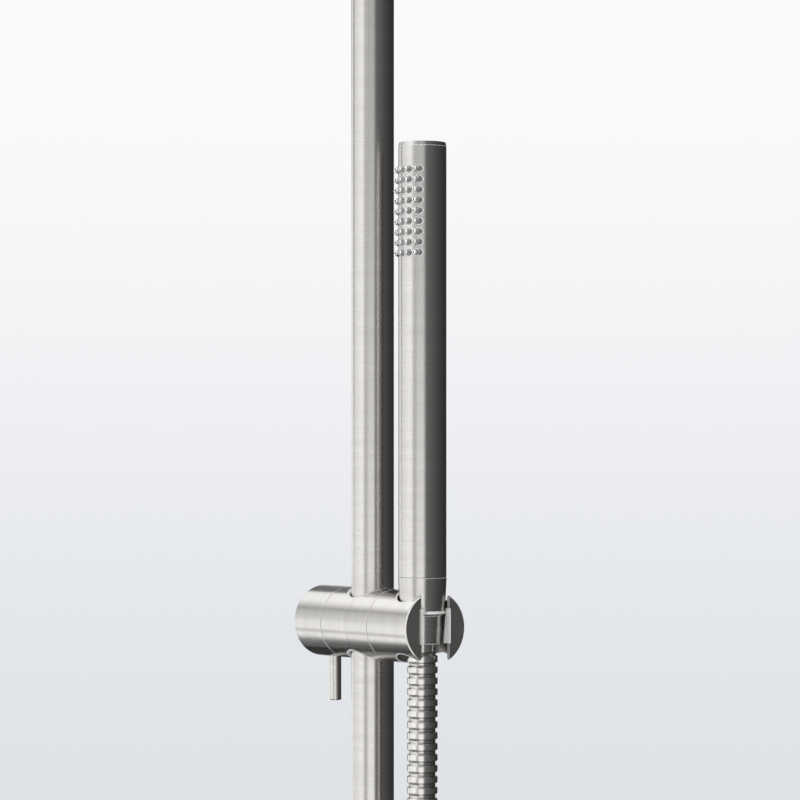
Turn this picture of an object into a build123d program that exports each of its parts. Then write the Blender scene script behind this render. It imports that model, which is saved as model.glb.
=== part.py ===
from build123d import *
import os
from math import sqrt, tan, radians

# Wall-mounted shower rail set: a round rail on two wall brackets, a round slider barrel
# with a tilting holder, a stick handset, and a ribbed hose to the outlet in the lower bracket.
# All sizes are millimetres. The wall is the plane Y = 0 and the room lies towards -Y.
# Z is up, and the origin is where the lower bracket's axis meets the wall.

# Rail
RAIL_D = 20.0
RAIL_WALL = 1.2
RAIL_TO_WALL = 55.0
BRACKET_SPACING = 1020.0
SLIDER_HEIGHT = 680.0

# Slider barrel, from the near face towards the wall
BARREL_D = 33.5
HEAD_LENGTH = 30.8
BODY_LENGTH = 37.3
KNOB_LENGTH = 22.1
SEAM_GAP = 0.3
BARREL_BEVEL = 0.5
SEAM_BEVEL = 0.15

# Rail bore of the slider and its two plastic bushes
RIM_CLEARANCE = 0.4
RIM_BEVEL = 0.9
BUSH_RECESS_HEIGHT = 25.0
BUSH_THICKNESS = 1.0
BUSH_HEIGHT = 6.5
BUSH_END_PLAY = 0.4

# Fits
RUNNING = 0.05
SEATED = 0.02
FREE = 0.35

# Holder head
HANDSET_SETBACK = 10.0
HEAD_BORE_D = 22.9
SLOT_WIDTH = 16.3
HEAD_RIM_BEVEL = 0.5
PIVOT_D = 8.0
PIVOT_HEAD_D = 12.0
PIVOT_HEAD_THICKNESS = 2.7
PIVOT_WEB = 5.65
PIVOT_THREAD_D = 6.0
PIVOT_THREAD_LENGTH = 6.0
PIVOT_SOCKET_D = 4.6
PIVOT_SOCKET_DEPTH = 1.6
WASHER_THICKNESS = 0.25
FRICTION_RING_D = 20.0
FRICTION_RING_SECTION = 1.7

# Cone liner of the holder
LINER_TOP = 8.8
LINER_BOTTOM = -7.1
LINER_TOP_WALL = 0.5
LINER_BOTTOM_WALL = 1.85
LIP_THICKNESS = 1.0
LIP_PROUD = 0.8

# Clamp: knob, lever, threaded bush, spindle and brake shoe
LEVER_D = 5.7
LEVER_REACH = 37.5
LEVER_ROOT = 10.6
LEVER_FROM_SEAM = 12.0
LEVER_BEVEL = 0.4
SHOE_D = 9.0
SHOE_STROKE = 0.75
CLAMP_NUT_D = 18.0
CLAMP_NUT_DEPTH = 4.5
CLAMP_NECK_D = 14.0
CLAMP_NECK_LENGTH = 12.4
SPINDLE_D = 8.0
SHOE_GUIDE_LENGTH = 1.4
KNOB_WEB = 8.0
KNOB_CAVITY_D = 20.0
CIRCLIP_THICKNESS = 1.0
CIRCLIP_D = 18.0
CIRCLIP_GROOVE_DEPTH = 0.7
DRIVE_DISC_THICKNESS = 5.0
KNOB_CAP_THICKNESS = 3.2

# Handset, with heights above the barrel's axis
HANDSET_D = 22.0
HANDSET_WALL = 1.0
HANDSET_TOP = 221.3
HANDSET_SEAM = 22.8
SEAM_GROOVE = 0.2
CAP_HEIGHT = 1.8
CAP_INSET = 0.35
CAP_PLUG_LENGTH = 4.0
SLEEVE_TOP_D = 22.2
SLEEVE_BOTTOM_D = 20.7
SLEEVE_BOTTOM = 7.6
SLEEVE_BORE_D = 18.4
SEAT_RING_D = 21.3
SEAT_RING_THICKNESS = 1.25
CONNECTOR_THREAD_D = 15.0
CONNECTOR_BOTTOM = -2.3
CONNECTOR_TOP = 31.0
CONNECTOR_BORE_D = 8.0
RESTRICTOR_D = 12.0
RESTRICTOR_THICKNESS = 3.0
RESTRICTOR_HOLE_D = 2.0
RESTRICTOR_HOLE_OFFSET = 2.0
DUCT_D = 13.0
DUCT_WALL = 1.0

# Spray face: nozzles stand in rows along the handset and all point towards -X
NOZZLE_ROWS = 9
NOZZLE_COLUMNS = 5
ROW_PITCH = 4.75
COLUMN_PITCH = 3.7
FIRST_ROW_BELOW_TOP = 12.6
NOZZLE_BASE_D = 3.1
NOZZLE_TIP_D = 1.5
NOZZLE_PROUD = 2.15
NOZZLE_BORE_D = 0.8
NOZZLE_HOLE_CLEARANCE = 0.06
STRIP_THICKNESS = 1.4
STRIP_MARGIN = 4.0
CHAMBER_WALL = 1.2
CHAMBER_MARGIN = 7.0
CHAMBER_WINDOW_WIDTH = 11.0

# Hose and its two ends
HOSE_D = 14.0
HOSE_GROOVE_D = 12.1
RIB_PITCH = 5.0
RIB_LENGTH = 3.1
FIRST_RIB = 1.7
RIB_SLOPE = 0.3
RIB_COUNT = 200
PLAIN_STEP = 12.0
HOSE_BORE_D = 10.1
CORNER_SHARE = 0.45
LINER_TUBE_D = 10.0
LINER_TUBE_BORE_D = 8.0
FERRULE_COLLAR_D = 12.3
FERRULE_BORE_D = 6.0
FERRULE_FLANGE_THICKNESS = 1.0
BARB_LENGTH = 13.0
NUT_TOP = 5.7
NUT_BOTTOM = -7.5
NUT_TOP_D = 18.2
NUT_BOTTOM_D = 16.8
NUT_FLOOR = 1.8
HOSE_START = -11.1
HOSE_WASHER_THICKNESS = 1.7

# Wall brackets
BRACKET_D = 32.0
BRACKET_FRONT = 16.0
BRACKET_BEVEL = 0.6
SOCKET_FLOOR = 8.0
PLATE_D = 48.0
PLATE_THICKNESS = 3.0
BOSS_D = 26.0
BOSS_LENGTH = 12.0
BOSS_END_PLAY = 1.0
ROSE_D = 52.0
ROSE_HEIGHT = 6.5
ROSE_WALL = 1.4
ROSE_ROUND = 1.0
SCREW_SPACING = 36.0
SCREW_D = 4.2
SCREW_HEAD_D = 8.2
SCREW_LENGTH = 34.0
SCREW_TIP = 5.0
SCREW_WAIST_D = 3.8
SCREW_POINT_D = 1.0
GRUB_D = 4.0
GRUB_HEX = 2.0
GRUB_SOCKET_DEPTH = 1.4
RAIL_GRUB_D = 3.0
RAIL_GRUB_LENGTH = 6.0
RAIL_GRUB_HEIGHT = 10.9

# Water way of the lower bracket
HALF_INCH_THREAD_D = 20.956
INLET_DEPTH = 10.0
INLET_REACH = 14.0
INLET_BORE_D = 13.0
INLET_WAIST_D = 19.8
WATERWAY_D = 10.0
OUTLET_SOCKET_D = 18.0
OUTLET_SOCKET_TOP = -6.0
OUTLET_COLLAR_D = 24.0
OUTLET_COLLAR_TOP = -12.0
OUTLET_COLLAR_BOTTOM = -17.5
OUTLET_THREAD_LENGTH = 11.0
VALVE_D = 13.0
VALVE_LENGTH = 12.0
VALVE_BORE_D = 7.0
VALVE_HEAD_LENGTH = 4.0
OUTLET_NUT_TOP_D = 25.0
OUTLET_NUT_BOTTOM_D = 17.6
OUTLET_NUT_LENGTH = 19.0
OUTLET_NUT_FLOOR = 4.0
OUTLET_NUT_GRIP = 7.0
OUTLET_WASHER_THICKNESS = 1.9
OUTLET_FLANGE_D = 18.6
OUTLET_FLANGE_THICKNESS = 2.4
OUTLET_HOSE_END = -40.0

# Places along the barrel's axis, measured from the rail's axis
barrel_r = BARREL_D / 2
body_front = -BODY_LENGTH / 2
body_back = BODY_LENGTH / 2
head_back = body_front - SEAM_GAP
head_front = head_back - HEAD_LENGTH
knob_front = body_back + SEAM_GAP
knob_back = knob_front + KNOB_LENGTH
handset_y = head_front + HANDSET_SETBACK
lever_y = knob_front + LEVER_FROM_SEAM

# Radii that several pieces share
rail_r = RAIL_D / 2
rim_r = rail_r + RIM_CLEARANCE
bush_outer_r = rail_r + RUNNING + BUSH_THICKNESS
handset_r = HANDSET_D / 2
tube_bore_r = handset_r - HANDSET_WALL
head_bore_r = HEAD_BORE_D / 2
bracket_r = BRACKET_D / 2
rail_y = -RAIL_TO_WALL

# Clamp stations
clamp_nut_front = body_back - CLAMP_NUT_DEPTH
neck_back = body_back + CLAMP_NECK_LENGTH
shoe_back = clamp_nut_front + SHOE_GUIDE_LENGTH + CLAMP_NUT_DEPTH - SHOE_STROKE - FREE
spindle_front = shoe_back + SHOE_STROKE + FREE
knob_web_back = knob_front + KNOB_WEB
circlip_front = knob_web_back + FREE
disc_front = neck_back + FREE
disc_back = disc_front + DRIVE_DISC_THICKNESS

# Spray face stations
first_row = HANDSET_TOP - FIRST_ROW_BELOW_TOP
last_row = first_row - (NOZZLE_ROWS - 1) * ROW_PITCH
strip_outer_r = tube_bore_r - RUNNING
strip_inner_r = strip_outer_r - STRIP_THICKNESS
chamber_r = strip_inner_r - RUNNING
chamber_bottom = last_row - STRIP_MARGIN - CHAMBER_MARGIN
chamber_top = HANDSET_TOP - CAP_HEIGHT - CAP_PLUG_LENGTH - FREE

# Outlet stations
outlet_thread_end = OUTLET_COLLAR_BOTTOM - OUTLET_THREAD_LENGTH
outlet_nut_top = OUTLET_COLLAR_BOTTOM - FREE
outlet_nut_bottom = outlet_nut_top - OUTLET_NUT_LENGTH
outlet_flange_top = outlet_thread_end - OUTLET_WASHER_THICKNESS

UP = (Align.CENTER, Align.CENTER, Align.MIN)


def rod_z(radius, low, high, x=0.0, y=0.0):
    """Round bar along Z between two heights."""
    return Pos(x, y, low) * Cylinder(radius, high - low, align=UP)


def rod_y(radius, front, back, x=0.0, z=0.0):
    """Round bar along Y between two depths."""
    return Pos(x, front, z) * Rot(-90, 0, 0) * Cylinder(radius, back - front, align=UP)


def cone_z(low_radius, high_radius, low, high):
    """Tapered bar along Z between two heights."""
    return Pos(0, 0, low) * Cone(low_radius, high_radius, high - low, align=UP)


def cone_y(front_radius, back_radius, front, back, x=0.0):
    """Tapered bar along Y between two depths."""
    taper = Cone(front_radius, back_radius, back - front, align=UP)
    return Pos(x, front, 0) * Rot(-90, 0, 0) * taper


def hex_bar_y(across_corners, front, back):
    """Hexagonal bar along Y, used to cut key sockets."""
    bar = extrude(RegularPolygon(across_corners / 2, 6), back - front)
    return Pos(0, front, 0) * Rot(-90, 0, 0) * bar


def block(x_low, x_high, y_low, y_high, z_low, z_high):
    """Box between two corners."""
    size = Box(x_high - x_low, y_high - y_low, z_high - z_low)
    return Pos((x_low + x_high) / 2, (y_low + y_high) / 2, (z_low + z_high) / 2) * size


def on_slider(shape):
    """Moves a piece drawn about the barrel's axis and the rail's axis to its place."""
    return Pos(0, rail_y, SLIDER_HEIGHT) * shape


def on_handset(shape):
    """Moves a piece drawn about the handset's axis to its place in the holder."""
    return on_slider(Pos(0, handset_y, 0) * shape)


def barrel_segment(front, back, front_bevel, back_bevel):
    """Plain segment of the barrel with a bevel at each end."""
    bar = rod_y(barrel_r, front, back)
    bar = chamfer(bar.faces().sort_by(Axis.Y)[0].edges(), front_bevel)
    return chamfer(bar.faces().sort_by(Axis.Y)[-1].edges(), back_bevel)


# Rail and slider


def make_rail_tube():
    """Rail, which runs between the floors of the two bracket sockets."""
    low = SOCKET_FLOOR
    high = BRACKET_SPACING - SOCKET_FLOOR
    tube = rod_z(rail_r, low, high) - rod_z(rail_r - RAIL_WALL, low, high)
    return Pos(0, rail_y, 0) * tube


def make_slider_body():
    """Middle segment: bored for the rail, with a recess that holds the two bushes."""
    body = barrel_segment(body_front, body_back, SEAM_BEVEL, SEAM_BEVEL)
    body -= rod_z(rim_r, -barrel_r, barrel_r)
    rims = [e for e in body.edges() if abs(e.center().Z) > barrel_r / 2 and abs(e.center().Y) < rim_r / 2]
    rims = [e for e in rims if e.length > rail_r]
    body = chamfer(rims, RIM_BEVEL)
    body -= rod_z(bush_outer_r + RUNNING, -BUSH_RECESS_HEIGHT / 2, BUSH_RECESS_HEIGHT / 2)
    body -= rod_y(CLAMP_NUT_D / 2 + SEATED, clamp_nut_front, body_back)
    body -= rod_y(SHOE_D / 2 + RUNNING, 0, body_back)
    body -= rod_y(PIVOT_THREAD_D / 2, body_front, body_front + PIVOT_THREAD_LENGTH + FREE)
    return on_slider(body)


def make_rail_bush(side):
    """Plastic ring between the rail and the slider, above (1) or below (-1) the barrel's axis."""
    high = BUSH_RECESS_HEIGHT / 2 - BUSH_END_PLAY
    low = high - BUSH_HEIGHT
    ring = rod_z(bush_outer_r, low, high) - rod_z(rail_r + RUNNING, low, high)
    return on_slider(ring if side > 0 else mirror(ring, about=Plane.XY))


# Holder


def make_holder_head():
    """Front segment: bored for the handset, slotted for the hose, and hung on the pivot."""
    head = barrel_segment(head_front, head_back, BARREL_BEVEL, SEAM_BEVEL)
    head -= rod_z(head_bore_r, -barrel_r, barrel_r, y=handset_y)
    rims = [e for e in head.edges() if abs(e.center().Z) > barrel_r / 2 and abs(e.center().X) < rim_r / 2]
    rims = [e for e in rims if e.length > head_bore_r]
    head = chamfer(rims, HEAD_RIM_BEVEL)
    half = SLOT_WIDTH / 2
    head -= block(-half, half, head_front - 1, handset_y, -barrel_r, barrel_r)
    web_front = head_back - PIVOT_WEB
    head -= rod_y(PIVOT_D / 2 + RUNNING, web_front - 1, head_back)
    head -= rod_y(PIVOT_HEAD_D / 2 + FREE, handset_y, web_front)
    groove_r = (FRICTION_RING_D + FRICTION_RING_SECTION) / 2 + RUNNING
    groove_inner_r = (FRICTION_RING_D - FRICTION_RING_SECTION) / 2 - RUNNING
    groove_depth = FRICTION_RING_SECTION + RUNNING
    groove = rod_y(groove_r, head_back - groove_depth, head_back)
    head -= groove - rod_y(groove_inner_r, head_back - groove_depth, head_back)
    return on_slider(head)


def make_friction_ring():
    """Rubber ring in the head's back face that gives the tilt its friction."""
    section_r = FRICTION_RING_SECTION / 2
    ring = Rot(-90, 0, 0) * Torus(FRICTION_RING_D / 2, section_r)
    return on_slider(Pos(0, head_back - section_r - RUNNING / 2, 0) * ring)


def make_head_pivot():
    """Shoulder screw that the holder head tilts on."""
    head_face = head_back - PIVOT_WEB - FREE - WASHER_THICKNESS
    screw = rod_y(PIVOT_HEAD_D / 2, head_face - PIVOT_HEAD_THICKNESS, head_face)
    screw += rod_y(PIVOT_D / 2, head_face, body_front)
    screw += rod_y(PIVOT_THREAD_D / 2 - SEATED, body_front, body_front + PIVOT_THREAD_LENGTH)
    socket_front = head_face - PIVOT_HEAD_THICKNESS
    screw -= hex_bar_y(PIVOT_SOCKET_D, socket_front, socket_front + PIVOT_SOCKET_DEPTH)
    return on_slider(screw)


def make_friction_washer():
    """Thin washer under the pivot's head."""
    back = head_back - PIVOT_WEB - FREE
    outer = rod_y(PIVOT_HEAD_D / 2 - RUNNING, back - WASHER_THICKNESS, back)
    return on_slider(outer - rod_y(PIVOT_D / 2 + SEATED, back - WASHER_THICKNESS, back))


def make_holder_liner():
    """Plastic cone liner, open at the slot, with a lip along each wall of the slot."""
    outer_r = head_bore_r - SEATED
    liner = rod_z(outer_r, LINER_BOTTOM, LINER_TOP)
    lip_outer = SLOT_WIDTH / 2 - SEATED
    lip_inner = SLOT_WIDTH / 2 - LIP_THICKNESS
    lip_front = -HANDSET_SETBACK - LIP_PROUD
    liner -= block(-head_bore_r, head_bore_r, -head_bore_r, -sqrt(outer_r**2 - lip_outer**2),
                   LINER_BOTTOM, LINER_TOP)
    liner += block(-lip_outer, lip_outer, lip_front, 0, LINER_BOTTOM, LINER_TOP)
    liner -= block(-lip_inner, lip_inner, lip_front - 1, 0, LINER_BOTTOM, LINER_TOP)
    bottom_r = head_bore_r - LINER_BOTTOM_WALL
    top_r = head_bore_r - LINER_TOP_WALL
    liner -= cone_z(bottom_r, top_r, LINER_BOTTOM, LINER_TOP)
    return on_handset(liner)


# Clamp


def make_clamp_nut():
    """Threaded bush set in the slider's back, which guides the shoe and carries the knob."""
    nut = rod_y(CLAMP_NUT_D / 2, clamp_nut_front, body_back)
    nut += rod_y(CLAMP_NECK_D / 2, body_back, neck_back)
    guide_back = spindle_front + RUNNING
    nut -= rod_y(SHOE_D / 2 + RUNNING, clamp_nut_front, guide_back)
    nut -= rod_y(SPINDLE_D / 2 + RUNNING, guide_back, neck_back)
    groove_back = circlip_front + CIRCLIP_THICKNESS + RUNNING
    groove = rod_y(CLAMP_NECK_D, circlip_front - RUNNING, groove_back)
    groove -= rod_y(CLAMP_NECK_D / 2 - CIRCLIP_GROOVE_DEPTH, circlip_front - RUNNING, groove_back)
    return on_slider(nut - groove)


def make_brake_shoe():
    """Plastic plug whose hollow face grips the rail."""
    plug = rod_y(SHOE_D / 2, rail_r / 2, shoe_back)
    return on_slider(plug - rod_z(rail_r + RUNNING, -SHOE_D, SHOE_D))


def make_clamp_knob():
    """Rear segment, turned by the lever about the threaded bush."""
    knob = barrel_segment(knob_front, knob_back, SEAM_BEVEL, BARREL_BEVEL)
    knob -= rod_y(CLAMP_NECK_D / 2 + RUNNING, knob_front, knob_web_back)
    knob -= rod_y(KNOB_CAVITY_D / 2, knob_web_back, knob_back)
    knob -= rod_z(LEVER_D / 2 + SEATED, -barrel_r, -LEVER_ROOT, y=lever_y)
    return on_slider(knob)


def make_clamp_circlip():
    """Ring on the threaded bush that keeps the knob on."""
    back = circlip_front + CIRCLIP_THICKNESS
    ring = rod_y(CIRCLIP_D / 2, circlip_front, back)
    inner_r = CLAMP_NECK_D / 2 - CIRCLIP_GROOVE_DEPTH + SEATED
    return on_slider(ring - rod_y(inner_r, circlip_front, back))


def make_clamp_spindle():
    """Threaded spindle with the drive disc that is pressed into the knob."""
    spindle = rod_y(SPINDLE_D / 2, spindle_front, disc_front)
    spindle += rod_y(KNOB_CAVITY_D / 2 - SEATED, disc_front, disc_back)
    return on_slider(spindle)


def make_knob_end_cap():
    """Disc that closes the knob's back."""
    cap = rod_y(KNOB_CAVITY_D / 2 - SEATED, knob_back - KNOB_CAP_THICKNESS, knob_back - RUNNING)
    return on_slider(chamfer(cap.faces().sort_by(Axis.Y)[-1].edges(), SEAM_BEVEL))


def make_lever_pin():
    """Round lever, screwed into the knob's wall and pointing down."""
    pin = rod_z(LEVER_D / 2, -LEVER_REACH, -LEVER_ROOT)
    pin = chamfer(pin.faces().sort_by(Axis.Z)[0].edges(), LEVER_BEVEL)
    return on_slider(Pos(0, lever_y, 0) * pin)


# Handset


def nozzle_places():
    """Offset across the spray face and height of every nozzle."""
    middle = (NOZZLE_COLUMNS - 1) / 2
    offsets = [(column - middle) * COLUMN_PITCH for column in range(NOZZLE_COLUMNS)]
    heights = [first_row - row * ROW_PITCH for row in range(NOZZLE_ROWS)]
    return [(offset, height) for offset in offsets for height in heights]


def bar_towards_spray(radius, start, end, offset, height):
    """Round bar along -X between two distances from the handset's axis."""
    bar = Cylinder(radius, end - start, align=UP)
    return Pos(-start, offset, height) * Rot(0, -90, 0) * bar


def make_handset_tube():
    """Stick barrel with a hole for every nozzle."""
    top = HANDSET_TOP - CAP_HEIGHT
    low = HANDSET_SEAM + SEAM_GROOVE
    tube = rod_z(handset_r, low, top) - rod_z(tube_bore_r, low, top)
    hole_r = NOZZLE_BASE_D / 2 + NOZZLE_HOLE_CLEARANCE
    holes = [bar_towards_spray(hole_r, 1, HANDSET_D, *place) for place in nozzle_places()]
    return on_handset(tube - holes)


def make_handset_cap():
    """Flat cap with a slight taper, plugged into the tube."""
    top_edge = HANDSET_TOP - CAP_HEIGHT
    cap = cone_z(handset_r, handset_r - CAP_INSET, top_edge, HANDSET_TOP)
    cap += rod_z(tube_bore_r - SEATED, top_edge - CAP_PLUG_LENGTH, top_edge)
    return on_handset(cap)


def make_nozzle_strip():
    """Curved strip inside the tube with 9 rows of 5 nozzles through the tube's holes."""
    low = last_row - STRIP_MARGIN
    high = first_row + STRIP_MARGIN
    strip = rod_z(strip_outer_r, low, high) - rod_z(strip_inner_r, low, high)
    reach = (NOZZLE_COLUMNS - 1) / 2 * COLUMN_PITCH + NOZZLE_BASE_D / 2
    inner_x = sqrt(strip_inner_r**2 - min(reach, strip_inner_r - STRIP_THICKNESS)**2)
    strip &= block(-HANDSET_D, -inner_x, -handset_r, handset_r, low, high)
    pegs = []
    bores = []
    for offset, height in nozzle_places():
        root = sqrt(strip_inner_r**2 - offset**2) + STRIP_THICKNESS / 2
        skin = sqrt(handset_r**2 - offset**2)
        pegs.append(bar_towards_spray(NOZZLE_BASE_D / 2, root, skin, offset, height))
        tip = Cone(NOZZLE_BASE_D / 2, NOZZLE_TIP_D / 2, NOZZLE_PROUD, align=UP)
        pegs.append(Pos(-skin, offset, height) * Rot(0, -90, 0) * tip)
        bores.append(bar_towards_spray(NOZZLE_BORE_D / 2, inner_x / 2, HANDSET_D, offset, height))
    core = rod_z(strip_inner_r, low, high)
    return on_handset(strip + pegs - [core] - bores)


def make_spray_chamber():
    """Chamber behind the nozzles, open to the strip through a window."""
    chamber = rod_z(chamber_r, chamber_bottom, chamber_top)
    inside_r = chamber_r - CHAMBER_WALL
    chamber -= rod_z(inside_r, chamber_bottom + CHAMBER_WALL, chamber_top - CHAMBER_WALL)
    chamber -= rod_z(DUCT_D / 2 - DUCT_WALL, chamber_bottom, chamber_bottom + CHAMBER_WALL)
    half = CHAMBER_WINDOW_WIDTH / 2
    chamber -= block(-HANDSET_D, 0, -half, half, last_row - NOZZLE_BASE_D, first_row + NOZZLE_BASE_D)
    return on_handset(chamber)


def make_handset_duct():
    """Water tube from the connector to the spray chamber."""
    duct = rod_z(DUCT_D / 2, CONNECTOR_TOP, chamber_bottom)
    return on_handset(duct - rod_z(DUCT_D / 2 - DUCT_WALL, CONNECTOR_TOP, chamber_bottom))


def make_handset_sleeve():
    """Tapering sleeve that seats in the holder."""
    sleeve = cone_z(SLEEVE_BOTTOM_D / 2, SLEEVE_TOP_D / 2, SLEEVE_BOTTOM, HANDSET_SEAM)
    return on_handset(sleeve - rod_z(SLEEVE_BORE_D / 2, SLEEVE_BOTTOM, HANDSET_SEAM))


def make_handset_connector():
    """Brass end of the handset: hose thread below, plug of the tube above."""
    plug = rod_z(tube_bore_r - SEATED, HANDSET_SEAM + SEAM_GROOVE, CONNECTOR_TOP)
    core = rod_z(SLEEVE_BORE_D / 2 - SEATED, SLEEVE_BOTTOM, HANDSET_SEAM + SEAM_GROOVE)
    thread = rod_z(CONNECTOR_THREAD_D / 2, CONNECTOR_BOTTOM, SLEEVE_BOTTOM)
    connector = plug + core + thread
    connector -= rod_z(CONNECTOR_BORE_D / 2, CONNECTOR_BOTTOM, CONNECTOR_TOP)
    seat = CONNECTOR_TOP - RESTRICTOR_THICKNESS
    return on_handset(connector - rod_z(RESTRICTOR_D / 2 + SEATED, seat, CONNECTOR_TOP))


def make_flow_restrictor():
    """Disc with four small holes in the connector's mouth."""
    seat = CONNECTOR_TOP - RESTRICTOR_THICKNESS
    disc = rod_z(RESTRICTOR_D / 2, seat, CONNECTOR_TOP)
    out = RESTRICTOR_HOLE_OFFSET
    holes = [rod_z(RESTRICTOR_HOLE_D / 2, seat, CONNECTOR_TOP, x, y) for x, y in
             ((out, out), (-out, out), (-out, -out), (out, -out))]
    return on_handset(disc - holes)


def make_seat_ring():
    """Grey ring under the sleeve, which centres the handset in the liner."""
    low = SLEEVE_BOTTOM - SEAT_RING_THICKNESS
    ring = rod_z(SEAT_RING_D / 2, low, SLEEVE_BOTTOM)
    return on_handset(ring - rod_z(CONNECTOR_THREAD_D / 2 + SEATED, low, SLEEVE_BOTTOM))


# Hose and its ends


def make_hose_nut():
    """Tapered nut that joins the hose to the handset."""
    nut = cone_z(NUT_BOTTOM_D / 2, NUT_TOP_D / 2, NUT_BOTTOM, NUT_TOP)
    nut = chamfer(nut.faces().sort_by(Axis.Z)[-1].edges(), SEAM_BEVEL)
    nut -= rod_z(CONNECTOR_THREAD_D / 2 + RUNNING, NUT_BOTTOM + NUT_FLOOR, NUT_TOP)
    return on_handset(nut - rod_z(FERRULE_COLLAR_D / 2 + RUNNING, NUT_BOTTOM, NUT_TOP))


def make_hose_washer():
    """Rubber washer under the connector."""
    low = CONNECTOR_BOTTOM - HOSE_WASHER_THICKNESS
    washer = rod_z(CONNECTOR_THREAD_D / 2 - FREE, low, CONNECTOR_BOTTOM)
    return on_handset(washer - rod_z(CONNECTOR_BORE_D / 2, low, CONNECTOR_BOTTOM))


def ferrule(flange_d, flange_top, flange_thickness, collar_bottom):
    """Hose end: a flange in the nut, a collar below it and a barb inside the hose."""
    end = rod_z(flange_d / 2, flange_top - flange_thickness, flange_top)
    end += rod_z(FERRULE_COLLAR_D / 2, collar_bottom, flange_top)
    end += rod_z(LINER_TUBE_BORE_D / 2 - RUNNING, collar_bottom - BARB_LENGTH, collar_bottom)
    return end - rod_z(FERRULE_BORE_D / 2, collar_bottom - BARB_LENGTH, flange_top)


def make_hose_ferrule():
    """Ferrule at the handset, free to turn in the nut."""
    flange_top = CONNECTOR_BOTTOM - HOSE_WASHER_THICKNESS - FREE
    flange_d = CONNECTOR_THREAD_D - 2 * FREE
    return on_handset(ferrule(flange_d, flange_top, FERRULE_FLANGE_THICKNESS, HOSE_START))


# The hose hangs straight from the handset, swings out to one side, turns in an open loop
# and climbs to the outlet. The points between its two ends are chosen by hand.
hose_route = [
    (0.0, rail_y + handset_y, SLIDER_HEIGHT + HOSE_START),
    (0.0, rail_y + handset_y, 560.0),
    (-2.0, -94.6, 440.0),
    (-8.0, -94.0, 310.0),
    (-20.0, -92.0, 180.0),
    (-38.0, -89.0, 60.0),
    (-58.0, -86.0, -50.0),
    (-76.0, -83.0, -150.0),
    (-87.0, -80.0, -242.0),
    (-86.0, -77.0, -310.0),
    (-55.0, -74.5, -361.0),
    (-2.0, -72.0, -380.0),
    (50.0, -69.5, -362.0),
    (82.0, -67.0, -312.0),
    (84.0, -64.5, -248.0),
    (67.0, -61.5, -186.0),
    (38.0, -58.5, -138.0),
    (0.0, rail_y, -96.0),
    (0.0, rail_y, OUTLET_HOSE_END),
]


def corner_radii(points):
    """Radius at each inner point: a share of the shorter run over the tangent of half the turn."""
    runs = [Vector(*b) - Vector(*a) for a, b in zip(points, points[1:])]
    radii = []
    for before, after in zip(runs, runs[1:]):
        half_turn = radians(before.get_angle(after)) / 2
        radii.append(CORNER_SHARE * min(before.length, after.length) / tan(half_turn))
    return radii


radii = corner_radii(hose_route)
hose_path = FilletPolyline(*hose_route, radius=radii)
print("hose radii", [round(r) for r in radii])
print("hose length", round(hose_path.length, 1))


def hose_section(distance, radius):
    """Ring of the hose at a distance along its path, on an X axis that stays steady."""
    along = hose_path.tangent_at(distance / hose_path.length)
    steady = Vector(0, 1, 0)
    x_axis = steady - along * steady.dot(along)
    place = Plane(hose_path.position_at(distance / hose_path.length), x_dir=x_axis, z_dir=along)
    return place * Circle(radius)


def make_hose():
    """Metal hose: ribs from the handset's end, then plain to the outlet, with its bore."""
    rib_r = HOSE_D / 2
    groove_r = HOSE_GROOVE_D / 2
    stations = [(0.0, groove_r)]
    for rib in range(RIB_COUNT):
        start = FIRST_RIB + rib * RIB_PITCH
        stations += [(start, groove_r), (start + RIB_SLOPE, rib_r)]
        stations += [(start + RIB_LENGTH - RIB_SLOPE, rib_r), (start + RIB_LENGTH, groove_r)]
    ribbed_end = RIB_COUNT * RIB_PITCH
    plain = hose_path.length - ribbed_end
    plain_steps = round(plain / PLAIN_STEP)
    stations += [(ribbed_end + plain * step / plain_steps, groove_r) for step in range(plain_steps + 1)]
    rings = [hose_section(distance, radius) for distance, radius in stations]
    hose = loft(rings, ruled=True)
    return hose - sweep(hose_section(0.0, HOSE_BORE_D / 2), path=hose_path)


def make_hose_liner():
    """Plastic inner tube of the hose, which carries the water."""
    ring = hose_section(0.0, LINER_TUBE_D / 2) - hose_section(0.0, LINER_TUBE_BORE_D / 2)
    liner = sweep(ring, path=hose_path)
    print("hose liner volume", round(liner.volume), "against", round(ring.area * hose_path.length))
    return liner


def make_outlet_washer():
    """Rubber washer under the outlet's thread."""
    washer = rod_z(OUTLET_FLANGE_D / 2, outlet_flange_top, outlet_thread_end)
    return washer - rod_z(VALVE_D / 2, outlet_flange_top, outlet_thread_end)


def make_outlet_nut():
    """Tapered nut at the wall end of the hose."""
    grip_bottom = outlet_nut_top - OUTLET_NUT_GRIP
    nut = rod_z(OUTLET_NUT_TOP_D / 2, grip_bottom, outlet_nut_top)
    nut = chamfer(nut.faces().sort_by(Axis.Z)[-1].edges(), BRACKET_BEVEL)
    nut += cone_z(OUTLET_NUT_BOTTOM_D / 2, OUTLET_NUT_TOP_D / 2, outlet_nut_bottom, grip_bottom)
    floor = outlet_nut_bottom + OUTLET_NUT_FLOOR
    nut -= rod_z(HALF_INCH_THREAD_D / 2 + RUNNING, outlet_flange_top, outlet_nut_top)
    nut -= rod_z(OUTLET_FLANGE_D / 2 + RUNNING, floor, outlet_nut_top)
    return nut - rod_z(FERRULE_COLLAR_D / 2 + RUNNING, outlet_nut_bottom, outlet_nut_top)


def make_outlet_ferrule():
    """Ferrule at the wall end of the hose."""
    return ferrule(OUTLET_FLANGE_D, outlet_flange_top, OUTLET_FLANGE_THICKNESS, OUTLET_HOSE_END)


# Wall brackets


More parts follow.
